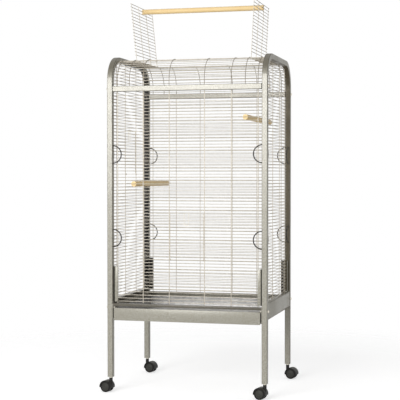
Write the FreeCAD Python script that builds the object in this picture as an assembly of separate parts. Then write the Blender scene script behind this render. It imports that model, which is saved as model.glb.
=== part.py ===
import FreeCAD, Part
import math
import os

os.makedirs("parts", exist_ok=True)

Vector = FreeCAD.Vector
origin = Vector(0, 0, 0)
along_x = Vector(1, 0, 0)
along_y = Vector(0, 1, 0)
along_z = Vector(0, 0, 1)

# Bird cage on casters. Lengths are millimetres and angles degrees. +Z is up, the front
# faces -Y and +X is on the right. The origin is on the floor under the cage's middle.

# Frame of square tube: two arches that end in posts, on four legs
cage_width = 735.0
cage_depth = 575.0
arch_top = 1520.5
post_foot = 340.0
leg_foot = 70.0
tube = 25.0
tube_wall = 1.5
tube_corner = 2.5
bend_inner_radius = 92.5
cross_tube_drop = 21.5
plug_reach = 40.0
cross_plug_length = 26.0
cross_plug_flange = 2.0

# Clearances
slip_gap = 0.05
running_gap = 0.08
seat_gap = 0.3
overrun = 5.0

# Wire mesh. Its rows stand at one pitch on all four sides
wire = 2.8
row_pitch = 14.7
first_row = 398.4
row_margin = 5.0
panel_inset = 5.5
roof_inset = 8.5
roof_slimming = 0.2
front_column_shares = (0.2367, 0.5923, 0.9428)
side_column_shares = (0.3049, 0.7814)
roof_hinge_share = 0.7766
roof_opening_depth = 330.0

# Doors of mesh that drop down on loops, and their hanging wire clips
front_door_foot = 604.0
left_door_foot = 986.0
door_height = 206.0
door_side_gap = 1.2
door_gap = 3.2
loop_wire = 2.2
clip_wire = 2.0
clip_width = 23.0
clip_length = 52.0

# Roof flaps, which lean outwards as they stand
flap_length = 264.0
flap_foot = 20.0
flap_overlap = 3.0
flap_gap = 0.6
flap_column_shares = (0.333, 0.97)
left_flap_lean = 5.6
right_flap_lean = 3.0

# Perches of round wood, whose kerfed ends clip over a row of the mesh
perch_radius = 12.0
perch_stand_off = 2.0
perch_kerf_floor = 0.6
play_perch_kerf = 5.0
left_perch_place = -247.0
left_perch_height = 942.0
right_perch_place = 266.0
right_perch_height = 1236.0
play_perch_place = 22.0

# Base of folded sheet round a sliding tray
sheet = 2.0
sheet_inset = 1.0
side_skirt_top = 420.0
side_skirt_foot = 352.0
rail_top = 404.0
rear_skirt_foot = 350.0
front_rail_foot = 392.0
runner_foot = 333.0
runner_top = 402.0
runner_lip = 22.0
tray_sheet = 1.2
tray_top = 384.0
tray_side_gap = 8.0
tray_rear_gap = 27.0
tray_hem_height = 5.0
tray_hem_width = 3.0
tray_front_sheet = 2.0
tray_front_foot = 328.0
tray_front_side_gap = 4.0

# Straps on plastic pads and half hoops on the posts, and the frame's bolts
strap_foot = 411.0
side_strap_foot = 423.0
strap_top = 571.0
strap_width = 15.0
strap_sheet = 2.0
strap_set_back = 12.5
side_strap_set_back = 7.5
pad_margin = 6.0
pad_sheet = 1.4
hoop_wire_radius = 2.5
hoop_radius = 39.0
hoop_heights = (698.0, 1075.0)
hoop_set_back = 9.5
bolt_radius = 3.0
bolt_hole_gap = 0.1
bolt_head_radius = 6.0
bolt_head_height = 5.5
bolt_head_round = 2.4
bolt_tip = 1.0
base_bolt_height = 386.0
nut_flats = 10.0
nut_height = 5.0

# Twin wheel casters, as they stand after a push
wheel_radius = 25.0
wheel_width = 14.0
wheel_round = 2.5
wheel_recess_radius = 18.0
wheel_recess = 1.5
wheel_hub_radius = 7.0
web_width = 10.0
wheel_gap = 1.0
axle_radius = 3.0
caster_trail = 20.0
hood_gap = 1.2
hood_wall = 2.4
hood_from = -8.0
hood_to = 190.0
stem_radius = 5.45
stem_boss_radius = 8.0
stem_boss_top = 66.0
stem_foot = 45.0
stem_collar_radius = 7.0
stem_top = 100.0
socket_top = 105.0
front_caster_turn = 170.0
rear_caster_turn = -10.0

# Faces and middles that the pieces share
outer_x = cage_width / 2
outer_y = cage_depth / 2
inner_x = outer_x - tube
inner_y = outer_y - tube
post_x = outer_x - tube / 2
post_y = outer_y - tube / 2
bend_outer_radius = bend_inner_radius + tube
bend_y = outer_y - bend_outer_radius
bend_z = arch_top - bend_outer_radius
arch_underside = arch_top - tube
cross_tube_top = bend_z - cross_tube_drop
cross_tube_foot = cross_tube_top - tube
bore_width = tube - 2 * tube_wall
plug_width = bore_width - 2 * slip_gap
half_wire = wire / 2
front_mesh_y = inner_y + panel_inset
side_mesh_x = inner_x + panel_inset
roof_z = arch_underside + roof_inset
roof_radius = bend_inner_radius + roof_inset
roof_opening_y = roof_opening_depth / 2
roof_hinge_x = roof_hinge_share * inner_x
door_offset = wire + door_gap
flap_offset = wire + flap_gap
loop_inner_radius = half_wire + running_gap
loop_outer_radius = loop_inner_radius + loop_wire
top_bolt_height = cross_tube_foot + tube / 2


def block(x_from, x_to, y_from, y_to, z_from, z_to):
    return Part.makeBox(x_to - x_from, y_to - y_from, z_to - z_from, Vector(x_from, y_from, z_from))


def rod(radius, start, end):
    return Part.makeCylinder(radius, (end - start).Length, start, end - start)


def turned(shape, degrees, axis=along_z, centre=origin):
    copy = shape.copy()
    copy.rotate(centre, axis, degrees)
    return copy


def moved(shape, x, y, z):
    copy = shape.copy()
    copy.translate(Vector(x, y, z))
    return copy


def mirrored_x(shape):
    return shape.mirror(origin, along_x)


def mirrored_y(shape):
    return shape.mirror(origin, along_y)


def four_corners(shape):
    right = [shape, mirrored_x(shape)]
    return right + [mirrored_y(one) for one in right]


def polygon(points):
    return Part.Wire(Part.makePolygon(points + points[:1]))


def export(name, solids):
    shape = solids[0] if len(solids) == 1 else Part.makeCompound(solids)
    shape.exportStep("parts/" + name + ".step")


# Rounded square of the tube with its bore, flat at the origin, for runs and bends

def square_ring(outer, bore, corner):
    half = outer / 2
    plate = block(-half, half, -half, half, 0, outer)
    upright = [edge for edge in plate.Edges if abs(edge.tangentAt(edge.FirstParameter).z) > 0.9]
    plate = plate.makeFillet(corner, upright)
    section = [face for face in plate.Faces if abs(face.CenterOfMass.z) < slip_gap][0]
    hollow = block(-bore / 2, bore / 2, -bore / 2, bore / 2, -overrun, overrun)
    return section.cut(hollow).Faces[0]


def upright_tube(x, y, z_from, z_to):
    section = square_ring(tube, bore_width, tube_corner)
    return moved(section.extrude(Vector(0, 0, z_to - z_from)), x, y, z_from)


def cross_hole(x, y, z, radius):
    return rod(radius, Vector(x - tube, y, z), Vector(x + tube, y, z))


# One arch: front post, bend, top run, bend and rear post, in one tube

def arch(x):
    section = square_ring(tube, bore_width, tube_corner)
    post = upright_tube(x, -post_y, post_foot, bend_z)
    start = moved(section, x, -post_y, bend_z)
    bend = start.revolve(Vector(x, -bend_y, bend_z), -along_x, 90)
    top_section = turned(section, 90, along_x)
    top_section = moved(top_section, x, bend_y, arch_top - tube / 2)
    top = top_section.extrude(Vector(0, -2 * bend_y, 0))
    whole = top.multiFuse([post, bend, mirrored_y(post), mirrored_y(bend)]).removeSplitter()
    for y in (-post_y, post_y):
        for z in (base_bolt_height, top_bolt_height):
            whole = whole.cut(cross_hole(x, y, z, bolt_radius + bolt_hole_gap))
    return whole.Solids[0]


def cross_tube(y):
    end = inner_x - cross_plug_flange
    section = turned(square_ring(tube, bore_width, tube_corner), 90, along_y)
    section = moved(section, -end, y, top_bolt_height)
    return section.extrude(Vector(2 * end, 0, 0))


def leg(x, y):
    return upright_tube(x, y, leg_foot, post_foot)


def square_plug(x, y, z_from, z_to):
    half = plug_width / 2
    return block(x - half, x + half, y - half, y + half, z_from, z_to)


def caster_socket(x, y):
    socket = square_plug(x, y, leg_foot, socket_top)
    start = Vector(x, y, leg_foot - overrun)
    bore = rod(stem_radius + slip_gap, start, Vector(x, y, stem_top + slip_gap))
    return socket.cut(bore)


# Plug in the end of a cross tube, with a flange between tube and post, bored for the bolt

def cross_plug():
    far = inner_x - cross_plug_length
    face = inner_x - cross_plug_flange
    z = top_bolt_height
    half = plug_width / 2
    plug = block(far, face, post_y - half, post_y + half, z - half, z + half)
    half = tube / 2
    flange = block(face, inner_x, post_y - half, post_y + half, z - half, z + half)
    lengthwise = [edge for edge in flange.Edges if abs(edge.tangentAt(edge.FirstParameter).x) > 0.9]
    flange = flange.makeFillet(tube_corner, lengthwise)
    start = Vector(far - overrun, post_y, z)
    bore = rod(bolt_radius + slip_gap, start, Vector(inner_x + overrun, post_y, z))
    return plug.fuse(flange).cut(bore).Solids[0]


def bolt(reach, z):
    crown = Vector(outer_x + bolt_head_height, post_y, z)
    head = rod(bolt_head_radius, Vector(outer_x, post_y, z), crown)
    rim = [edge for edge in head.Edges if edge.CenterOfMass.x > outer_x + bolt_head_height / 2
           and len(edge.Vertexes) == 1]
    head = head.makeFillet(bolt_head_round, rim)
    shank = rod(bolt_radius, Vector(reach, post_y, z), Vector(outer_x, post_y, z))
    return head.fuse(shank).removeSplitter().Solids[0]


def base_nut():
    corner_radius = nut_flats / 2 / math.cos(math.radians(30))
    face_x = inner_x - sheet
    corners = []
    for number in range(6):
        angle = math.radians(60 * number + 30)
        corners.append(Vector(face_x, post_y + corner_radius * math.cos(angle),
                              base_bolt_height + corner_radius * math.sin(angle)))
    body = Part.Face(polygon(corners)).extrude(Vector(-nut_height, 0, 0))
    bore = rod(bolt_radius + slip_gap, Vector(face_x - nut_height - overrun, post_y, base_bolt_height),
               Vector(face_x + overrun, post_y, base_bolt_height))
    return body.cut(bore)


# A flat mesh in the XZ plane, middle at y = 0. reach(row) gives the row's two ends,
# low and high are where the columns end. A doorway is (left column, lower, upper row)

def comb_outline(columns, rows, reach, low, high):
    foot = rows[0] - half_wire
    head = rows[-1] + half_wire
    points = [(reach(rows[0])[0], foot)]
    for column in columns:
        left, right = column - half_wire, column + half_wire
        points += [(left, foot), (left, low(column)), (right, low(column)), (right, foot)]
    for number, row in enumerate(rows):
        end = reach(row)[1]
        points += [(end, row - half_wire), (end, row + half_wire)]
        if number < len(rows) - 1:
            side = columns[-1] + half_wire
            points += [(side, row + half_wire), (side, rows[number + 1] - half_wire)]
    for column in reversed(columns):
        left, right = column - half_wire, column + half_wire
        points += [(right, head), (right, high(column)), (left, high(column)), (left, head)]
    for number in reversed(range(len(rows))):
        row = rows[number]
        end = reach(row)[0]
        points += [(end, row + half_wire), (end, row - half_wire)]
        if number > 0:
            side = columns[0] - half_wire
            points += [(side, row - half_wire), (side, rows[number - 1] + half_wire)]
    clean = []
    for point in points:
        if not clean or math.dist(point, clean[-1]) > slip_gap:
            clean.append(point)
    if math.dist(clean[0], clean[-1]) < slip_gap:
        clean.pop()
    return clean


def flat_wire(points):
    return polygon([Vector(x, -half_wire, z) for x, z in points])


def mesh(columns, rows, reach, low, high, doorway=None):
    wires = [flat_wire(comb_outline(columns, rows, reach, low, high))]
    for bay in range(len(columns) - 1):
        left, right = columns[bay] + half_wire, columns[bay + 1] - half_wire
        number = 0
        while number < len(rows) - 1:
            upper = number + 1
            if doorway and bay == doorway[0] and number == doorway[1] - 1:
                upper = doorway[2]
            foot, head = rows[number] + half_wire, rows[upper] - half_wire
            wires.append(flat_wire([(left, foot), (left, head), (right, head), (right, foot)]))
            number = upper
    face = Part.makeFace(wires, "Part::FaceMakerBullseye").Faces[0]
    return face.extrude(Vector(0, wire, 0))


def both_sides(shares, half):
    places = [share * half for share in shares]
    return [-place for place in reversed(places)] + places


def rows_between(foot, head):
    rows = []
    row = first_row
    while row + half_wire + row_margin < head:
        if row - half_wire - row_margin > foot:
            rows.append(row)
        row += row_pitch
    return rows


def nearest(rows, height):
    return min(range(len(rows)), key=lambda number: abs(rows[number] - height))


front_rows = rows_between(rail_top, cross_tube_foot)
side_rows = rows_between(side_skirt_top, arch_underside)
front_columns = both_sides(front_column_shares, inner_x)
side_columns = both_sides(side_column_shares, inner_y)
door_rows = round(door_height / row_pitch)
front_hinge = nearest(front_rows, front_door_foot)
left_hinge = nearest(side_rows, left_door_foot)


def hinge_bar(columns, rows, number):
    end = columns[len(columns) // 2] - half_wire
    return rod(half_wire, Vector(-end, 0, rows[number]), Vector(end, 0, rows[number]))


# Half length of a side panel's row, and the top of its column, under the arch

def under_arch(along):
    return bend_z + math.sqrt(bend_inner_radius ** 2 - max(0, along - bend_y) ** 2) - seat_gap


def side_reach(row):
    rise = row + half_wire - bend_z
    end = inner_y
    if rise > 0:
        end = bend_y + math.sqrt(bend_inner_radius ** 2 - rise ** 2) - seat_gap
    return -end, end


def side_column_top(column):
    if abs(column) + half_wire <= bend_y:
        return arch_underside
    return under_arch(abs(column) + half_wire)


def front_reach(row):
    return -inner_x, inner_x


def front_side_panel(with_door):
    doorway = None
    solids = []
    if with_door:
        doorway = (len(front_columns) // 2 - 1, front_hinge, front_hinge + door_rows + 1)
        solids = [hinge_bar(front_columns, front_rows, front_hinge)]
    solids.append(mesh(front_columns, front_rows, front_reach, lambda column: rail_top,
                       lambda column: cross_tube_foot, doorway))
    return [moved(solid, 0, -front_mesh_y, 0) for solid in solids]


def left_side_panel(with_door):
    doorway = None
    solids = []
    if with_door:
        doorway = (len(side_columns) // 2 - 1, left_hinge, left_hinge + door_rows + 1)
        solids = [hinge_bar(side_columns, side_rows, left_hinge)]
    solids.append(mesh(side_columns, side_rows, side_reach, lambda column: side_skirt_top,
                       side_column_top, doorway))
    return [moved(turned(solid, -90), -side_mesh_x, 0, 0) for solid in solids]


# Roof mesh: a flat strip beside each hinge wire, and a bend at the front and the rear

def roof_flat():
    gaps = round(roof_opening_y / row_pitch)
    pitch = roof_opening_y / gaps
    rows = [pitch * number for number in range(1 - gaps, gaps)]
    column = front_column_shares[-1] * inner_x
    end = roof_opening_y - half_wire
    flat = mesh([column], rows, lambda row: (roof_hinge_x + half_wire, inner_x),
                lambda place: -end, lambda place: end)
    return moved(turned(flat, -90, along_x), 0, 0, roof_z)


def roof_hinge_wire():
    end = roof_opening_y - half_wire
    return rod(half_wire, Vector(roof_hinge_x, -end, roof_z), Vector(roof_hinge_x, end, roof_z))


def roof_arc(x):
    flat_end = -roof_opening_y + half_wire
    edges = []
    corners = []
    for offset in (-half_wire, half_wire):
        radius = roof_radius + offset
        top = Vector(x - half_wire, flat_end, bend_z + radius)
        over = Vector(x - half_wire, -bend_y, bend_z + radius)
        middle = Vector(x - half_wire, -bend_y - radius * math.sin(math.radians(45)),
                        bend_z + radius * math.cos(math.radians(45)))
        side = Vector(x - half_wire, -bend_y - radius, bend_z)
        foot = Vector(x - half_wire, -bend_y - radius, cross_tube_top)
        bend = Part.Arc(over, middle, side).toShape()
        edges += [Part.makeLine(top, over), bend, Part.makeLine(side, foot)]
        corners.append((top, foot))
    edges.append(Part.makeLine(corners[0][0], corners[1][0]))
    edges.append(Part.makeLine(corners[0][1], corners[1][1]))
    outline = Part.Wire(Part.__sortEdges__(edges))
    return Part.Face(outline).extrude(Vector(wire, 0, 0))


def roof_bend_row(path):
    thin = half_wire - roof_slimming / 2
    bar = block(-inner_x, inner_x, -half_wire, half_wire, -thin, thin)
    flat = bend_y - roof_opening_y
    quarter = roof_radius * math.pi / 2
    if path <= flat:
        return moved(bar, 0, -roof_opening_y - path, roof_z)
    if path >= flat + quarter:
        upright = turned(bar, 90, along_x)
        return moved(upright, 0, -bend_y - roof_radius, bend_z - (path - flat - quarter))
    angle = math.degrees((path - flat) / roof_radius)
    over = moved(bar, 0, 0, roof_radius)
    return moved(turned(over, angle, along_x), 0, -bend_y, bend_z)


def roof_front_bend():
    columns = both_sides(front_column_shares + (roof_hinge_share,), inner_x)
    length = bend_y - roof_opening_y + roof_radius * math.pi / 2 + cross_tube_drop
    count = int((length - row_margin) / row_pitch) + 1
    rows = [roof_bend_row(row_pitch * number) for number in range(count)]
    arcs = [roof_arc(x) for x in columns]
    return arcs[0].multiFuse(arcs[1:] + rows).Solids[0]


# A hinged mesh in its hinge's frame: hinge along X, standing up, outer side towards -Y.
# The mesh's middle stands off the hinge's axis by the offset, and each loop reaches it

def hinge_loop(x, offset):
    left, right = x - half_wire, x + half_wire
    face_y = half_wire - offset
    whole = rod(loop_outer_radius, Vector(left, 0, 0), Vector(right, 0, 0))
    neck = block(left, right, face_y, 0, -loop_wire, loop_wire)
    bore = rod(loop_inner_radius, Vector(x - wire, 0, 0), Vector(x + wire, 0, 0))
    beyond_y = face_y - loop_outer_radius
    beyond = block(x - wire, x + wire, beyond_y, face_y, -loop_outer_radius, loop_outer_radius)
    return whole.fuse(neck).cut(bore).cut(beyond).Solids[0]


def hinged_mesh(columns, rows, reach, offset):
    plate = mesh(columns, rows, lambda row: (-reach, reach), lambda column: -loop_outer_radius,
                 lambda column: rows[-1] + half_wire)
    return [moved(plate, 0, -offset, 0)] + [hinge_loop(column, offset) for column in columns]


def door(panel_columns):
    bay = panel_columns[len(panel_columns) // 2]
    side = bay - wire - door_side_gap
    rows = [row_pitch * (number + 1) for number in range(door_rows)]
    return hinged_mesh([-side, side], rows, bay, door_offset)


# U of wire with a ring round the door's top row on each leg

def door_clip():
    bore_radius = half_wire * math.sqrt(2) + running_gap
    half = clip_width / 2
    near = half_wire + seat_gap
    solids = [block(-half, half, -near - clip_wire, -near, -clip_length, clip_wire - clip_length)]
    for x_from in (-half, half - clip_wire):
        x_to = x_from + clip_wire
        solids.append(rod(bore_radius + clip_wire, Vector(x_from, 0, 0), Vector(x_to, 0, 0)))
        solids.append(block(x_from, x_to, -near - clip_wire, -near, -clip_length, 0))
    bore = rod(bore_radius, Vector(-clip_width, 0, 0), Vector(clip_width, 0, 0))
    clip = solids[0].multiFuse(solids[1:]).cut(bore).removeSplitter()
    return moved(clip.Solids[0], 0, -door_offset, door_rows * row_pitch)


def flap(lean):
    count = int((flap_length - flap_foot) / row_pitch) + 1
    rows = [flap_length - row_pitch * number for number in reversed(range(count))]
    columns = both_sides(flap_column_shares, roof_opening_y)
    solids = hinged_mesh(columns, rows, roof_opening_y + flap_overlap, flap_offset)
    return [turned(solid, lean, along_x) for solid in solids]


def on_front(shape):
    return moved(shape, 0, -front_mesh_y, front_rows[front_hinge])


def on_left(shape):
    return moved(turned(shape, -90), -side_mesh_x, 0, side_rows[left_hinge])


# Perches. A kerf of the given height, wire at its middle, runs in from each end

def inner_perch(x, z):
    end = front_mesh_y + half_wire + perch_stand_off
    kerf = wire + 2 * seat_gap
    dowel = rod(perch_radius, Vector(x, -end, z), Vector(x, end, z))
    floor = front_mesh_y - half_wire - perch_kerf_floor
    slot = block(x - perch_radius - overrun, x + perch_radius + overrun, floor, end + overrun,
                 z - kerf / 2, z + kerf / 2)
    return dowel.cut(slot).cut(mirrored_y(slot))


def flap_row_place(lean):
    angle = math.radians(lean)
    row = flap_length - row_pitch
    outwards = row * math.sin(angle) + flap_offset * math.cos(angle)
    up = row * math.cos(angle) - flap_offset * math.sin(angle)
    return roof_hinge_x + outwards, roof_z + up


def play_perch():
    left_x, left_z = flap_row_place(left_flap_lean)
    right_x, right_z = flap_row_place(right_flap_lean)
    lean = math.radians(left_flap_lean)
    wire_half = half_wire * (math.cos(lean) + math.sin(lean))
    kerf_top = max(left_z, right_z) + wire_half + seat_gap
    z = kerf_top - play_perch_kerf / 2
    y = play_perch_place
    start = -left_x - wire_half - perch_stand_off
    end = right_x + wire_half + perch_stand_off
    dowel = rod(perch_radius, Vector(start, y, z), Vector(end, y, z))
    low_y, high_y = y - perch_radius - overrun, y + perch_radius + overrun
    low_z, high_z = z - play_perch_kerf / 2, z + play_perch_kerf / 2
    left_floor = -left_x + wire_half + perch_kerf_floor
    right_floor = right_x - wire_half - perch_kerf_floor
    left_slot = block(start - overrun, left_floor, low_y, high_y, low_z, high_z)
    right_slot = block(right_floor, end + overrun, low_y, high_y, low_z, high_z)
    return dowel.cut(left_slot).cut(right_slot)


# Folded sheet of the base

def side_skirt():
    face = outer_x - sheet_inset
    web = block(face - sheet, face, -inner_y, inner_y, side_skirt_foot, side_skirt_top)
    top = block(inner_x, face, -inner_y, inner_y, side_skirt_top - sheet, side_skirt_top)
    foot = block(inner_x, face, -inner_y, inner_y, side_skirt_foot, side_skirt_foot + sheet)
    return web.multiFuse([top, foot]).removeSplitter().Solids[0]


def cross_skirt(foot_height, with_foot):
    end = inner_x - sheet
    face = outer_y - sheet_inset
    web = block(-end, end, face - sheet, face, foot_height, rail_top)
    flanges = [block(-end, end, inner_y, face, rail_top - sheet, rail_top)]
    if with_foot:
        flanges.append(block(-end, end, inner_y, face, foot_height, foot_height + sheet))
    return web.multiFuse(flanges).removeSplitter().Solids[0]


def runner():
    hole = cross_hole(inner_x, -post_y, base_bolt_height, bolt_radius + bolt_hole_gap)
    upright = block(inner_x - sheet, inner_x, -outer_y, outer_y, runner_foot, runner_top)
    lip_front = -outer_y + tray_front_sheet + sheet
    lip = block(inner_x - runner_lip, inner_x, lip_front, outer_y, runner_foot, runner_foot + sheet)
    return upright.fuse(lip).cut(hole).cut(mirrored_y(hole)).removeSplitter().Solids[0]


def tray_pan():
    side = inner_x - sheet - tray_side_gap
    front = -outer_y + tray_front_sheet
    rear = outer_y - tray_rear_gap
    foot = runner_foot + sheet + seat_gap
    whole = block(-side, side, front, rear, foot, tray_top)
    below_hem = tray_top - tray_hem_height
    hollow = block(-side + tray_sheet, side - tray_sheet, front + tray_sheet, rear - tray_sheet,
                   foot + tray_sheet, below_hem)
    mouth = block(-side + tray_hem_width, side - tray_hem_width, front + tray_hem_width,
                  rear - tray_hem_width, below_hem, tray_top + overrun)
    return whole.cut(hollow.fuse(mouth)).Solids[0]


def tray_front():
    side = inner_x - sheet - tray_front_side_gap
    return block(-side, side, -outer_y, -outer_y + tray_front_sheet, tray_front_foot, tray_top)


# Two upright strips beside the rear right post, one in the rear plane and one in the side
# plane. Each stands back from the post's outer face and ends short of the post by a margin

def strips(set_back, side_set_back, margin, width, thickness):
    rear_y = outer_y - set_back
    side_x = outer_x - side_set_back
    end_x, end_y = inner_x - margin, inner_y - margin
    rear = block(end_x - width, end_x, rear_y - thickness, rear_y, strap_foot, strap_top)
    side = block(side_x - thickness, side_x, end_y - width, end_y, side_strap_foot, strap_top)
    return four_corners(rear) + four_corners(side)


# Half hoops beside the rear right post, in the rear and the side plane

def half_hoop(centre, axis, start_direction):
    section = Part.makeCircle(hoop_wire_radius, centre + Vector(0, 0, hoop_radius), start_direction)
    return Part.Face(Part.Wire(section)).revolve(centre, axis, 180)


def hoops():
    rings = []
    for z in hoop_heights:
        rear = Vector(inner_x, outer_y - hoop_set_back, z)
        side = Vector(outer_x - hoop_set_back, inner_y, z)
        rings.append(half_hoop(rear, -along_y, -along_x))
        rings.append(half_hoop(side, along_x, -along_y))
    return rings


# One caster in its own frame: stem axis at the origin, wheels trailing towards +X

def caster_hood():
    half = web_width / 2
    overall = half + wheel_gap + wheel_width + wheel_gap
    axle_z = wheel_radius
    inner = wheel_radius + hood_gap
    outer = inner + hood_wall
    start, end = Vector(caster_trail, -overall, axle_z), Vector(caster_trail, overall, axle_z)
    cover = rod(outer, start, end)
    corners = [Vector(caster_trail, -overall - overrun, axle_z)]
    for angle in (hood_to, 225, 270, 315, 360 + hood_from):
        radius = 2 * outer
        corners.append(Vector(caster_trail + radius * math.cos(math.radians(angle)), -overall - overrun,
                              axle_z + radius * math.sin(math.radians(angle))))
    below = Part.Face(polygon(corners)).extrude(Vector(0, 2 * overall + 2 * overrun, 0))
    cover = cover.cut(below)
    hub = rod(2 * wheel_hub_radius, Vector(caster_trail, -half, axle_z), Vector(caster_trail, half, axle_z))
    boss = rod(stem_boss_radius, Vector(0, 0, axle_z), Vector(0, 0, stem_boss_top))
    body = cover.multiFuse([hub, boss])
    for side in (-1, 1):
        near = Vector(caster_trail, side * half, axle_z)
        far = Vector(caster_trail, side * (overall + overrun), axle_z)
        body = body.cut(rod(inner, near, far))
    stem_top_end = Vector(0, 0, stem_boss_top + overrun)
    body = body.cut(rod(stem_radius + slip_gap, Vector(0, 0, stem_foot), stem_top_end))
    return body.cut(rod(axle_radius + slip_gap, start, end)).removeSplitter().Solids[0]


def caster_pins():
    reach = web_width / 2 + wheel_gap + wheel_width - wheel_recess
    start = Vector(caster_trail, -reach, wheel_radius)
    axle = rod(axle_radius, start, Vector(caster_trail, reach, wheel_radius))
    stem = rod(stem_radius, Vector(0, 0, stem_foot), Vector(0, 0, stem_top))
    collar_top = Vector(0, 0, leg_foot - seat_gap)
    collar = rod(stem_collar_radius, Vector(0, 0, stem_boss_top), collar_top)
    return [axle, stem.fuse(collar).removeSplitter().Solids[0]]


def caster_wheel(side):
    near = web_width / 2 + wheel_gap
    far = near + wheel_width
    start = Vector(caster_trail, side * near, wheel_radius)
    end = Vector(caster_trail, side * far, wheel_radius)
    wheel = rod(wheel_radius, start, end)
    wheel = wheel.makeFillet(wheel_round, [edge for edge in wheel.Edges if len(edge.Vertexes) == 1])
    floor = Vector(caster_trail, side * (far - wheel_recess), wheel_radius)
    past = Vector(caster_trail, side * (far + overrun), wheel_radius)
    ring = rod(wheel_recess_radius, floor, past).cut(rod(wheel_hub_radius, floor, past))
    bore = rod(axle_radius + running_gap, Vector(caster_trail, 0, wheel_radius), past)
    return wheel.cut(ring).cut(bore).Solids[0]


def export_caster(name, x, y, degrees):
    pieces = {"_hood": [caster_hood()], "_pins": caster_pins(),
              "_wheel_a": [caster_wheel(1)], "_wheel_b": [caster_wheel(-1)]}
    for ending, solids in pieces.items():
        export(name + "_caster" + ending, [moved(turned(solid, degrees), x, y, 0) for solid in solids])


corners = {"front_left": (-post_x, -post_y), "front_right": (post_x, -post_y),
           "rear_left": (-post_x, post_y), "rear_right": (post_x, post_y)}

export("left_arch", [arch(-post_x)])
export("right_arch", [arch(post_x)])
export("front_cross_tube", [cross_tube(-post_y)])
export("rear_cross_tube", [cross_tube(post_y)])
export("cross_tube_plugs", four_corners(cross_plug()))
plug_foot, plug_top = post_foot - plug_reach, post_foot + plug_reach
export("leg_plugs", [square_plug(x, y, plug_foot, plug_top) for x, y in corners.values()])
export("caster_sockets", [caster_socket(x, y) for x, y in corners.values()])

base_bolt_reach = inner_x - sheet - nut_height - bolt_tip
top_bolt_reach = inner_x - cross_plug_length + bolt_tip
export("frame_bolts", four_corners(bolt(base_bolt_reach, base_bolt_height))
       + four_corners(bolt(top_bolt_reach, top_bolt_height)))
export("frame_nuts", four_corners(base_nut()))

right_skirt = side_skirt()
right_runner = runner()
export("right_skirt", [right_skirt])
export("left_skirt", [mirrored_x(right_skirt)])
export("rear_skirt", [cross_skirt(rear_skirt_foot, True)])
export("front_rail", [mirrored_y(cross_skirt(front_rail_foot, False))])
export("right_runner", [right_runner])
export("left_runner", [mirrored_x(right_runner)])
export("tray_pan", [tray_pan()])
export("tray_front", [tray_front()])

export("front_panel", front_side_panel(True))
export("rear_panel", [mirrored_y(solid) for solid in front_side_panel(False)])
export("left_panel", left_side_panel(True))
export("right_panel", [mirrored_x(solid) for solid in left_side_panel(False)])
export("roof_right_mesh", [roof_flat(), roof_hinge_wire()])
export("roof_left_mesh", [mirrored_x(roof_flat()), mirrored_x(roof_hinge_wire())])
front_bend = roof_front_bend()
export("roof_front_bend", [front_bend])
export("roof_rear_bend", [mirrored_y(front_bend)])

export("front_door", [on_front(solid) for solid in door(front_columns)])
export("left_door", [on_left(solid) for solid in door(side_columns)])
export("front_door_clip", [on_front(door_clip())])
export("left_door_clip", [on_left(door_clip())])
left_flap = [turned(solid, -90) for solid in flap(left_flap_lean)]
right_flap = [turned(solid, 90) for solid in flap(right_flap_lean)]
export("left_roof_flap", [moved(solid, -roof_hinge_x, 0, roof_z) for solid in left_flap])
export("right_roof_flap", [moved(solid, roof_hinge_x, 0, roof_z) for solid in right_flap])

left_perch_row = front_rows[nearest(front_rows, left_perch_height)]
right_perch_row = front_rows[nearest(front_rows, right_perch_height)]
export("left_perch", [inner_perch(left_perch_place, left_perch_row)])
export("right_perch", [inner_perch(right_perch_place, right_perch_row)])
export("play_perch", [play_perch()])

export("corner_straps", strips(strap_set_back, side_strap_set_back, pad_margin, strap_width, strap_sheet))
export("strap_pads", strips(strap_set_back + strap_sheet, side_strap_set_back + strap_sheet, 0,
                            strap_width + pad_margin, pad_sheet))
rear_right_hoops = hoops()
export("hoops_rear_right", rear_right_hoops)
export("hoops_rear_left", [mirrored_x(ring) for ring in rear_right_hoops])
export("hoops_front_right", [mirrored_y(ring) for ring in rear_right_hoops])
export("hoops_front_left", [mirrored_y(mirrored_x(ring)) for ring in rear_right_hoops])

for name, (x, y) in corners.items():
    export(name + "_leg", [leg(x, y)])
    export_caster(name, x, y, front_caster_turn if y < 0 else rear_caster_turn)
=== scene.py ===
import math
import bmesh
import bpy
from mathutils import Matrix, Vector


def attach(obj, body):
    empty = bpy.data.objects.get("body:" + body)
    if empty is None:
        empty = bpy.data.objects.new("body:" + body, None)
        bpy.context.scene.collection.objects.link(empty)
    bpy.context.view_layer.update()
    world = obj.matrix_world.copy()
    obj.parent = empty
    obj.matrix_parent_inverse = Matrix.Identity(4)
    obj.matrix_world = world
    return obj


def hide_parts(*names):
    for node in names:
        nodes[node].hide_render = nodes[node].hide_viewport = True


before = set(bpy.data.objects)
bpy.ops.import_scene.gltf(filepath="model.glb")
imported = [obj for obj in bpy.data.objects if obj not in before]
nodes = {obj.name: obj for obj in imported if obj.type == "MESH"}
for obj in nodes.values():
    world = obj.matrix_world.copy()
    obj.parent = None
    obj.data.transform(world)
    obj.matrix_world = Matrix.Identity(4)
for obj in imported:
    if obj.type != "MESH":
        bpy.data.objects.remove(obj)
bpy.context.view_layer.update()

# Bird cage on casters. Shapes are worked out in millimetres, then scaled to metres
millimetre = 0.001
corners = {"front_left": (-355, -275), "front_right": (355, -275),
           "rear_left": (-355, 275), "rear_right": (355, 275)}

cameraSettings = {
    "place": (1.3546, -5.1756, 0.9869),
    "yaw": 14.777,
    "pitch": 1.299,
    "lens": 103.22,
    "sensor": 36,
}


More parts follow.
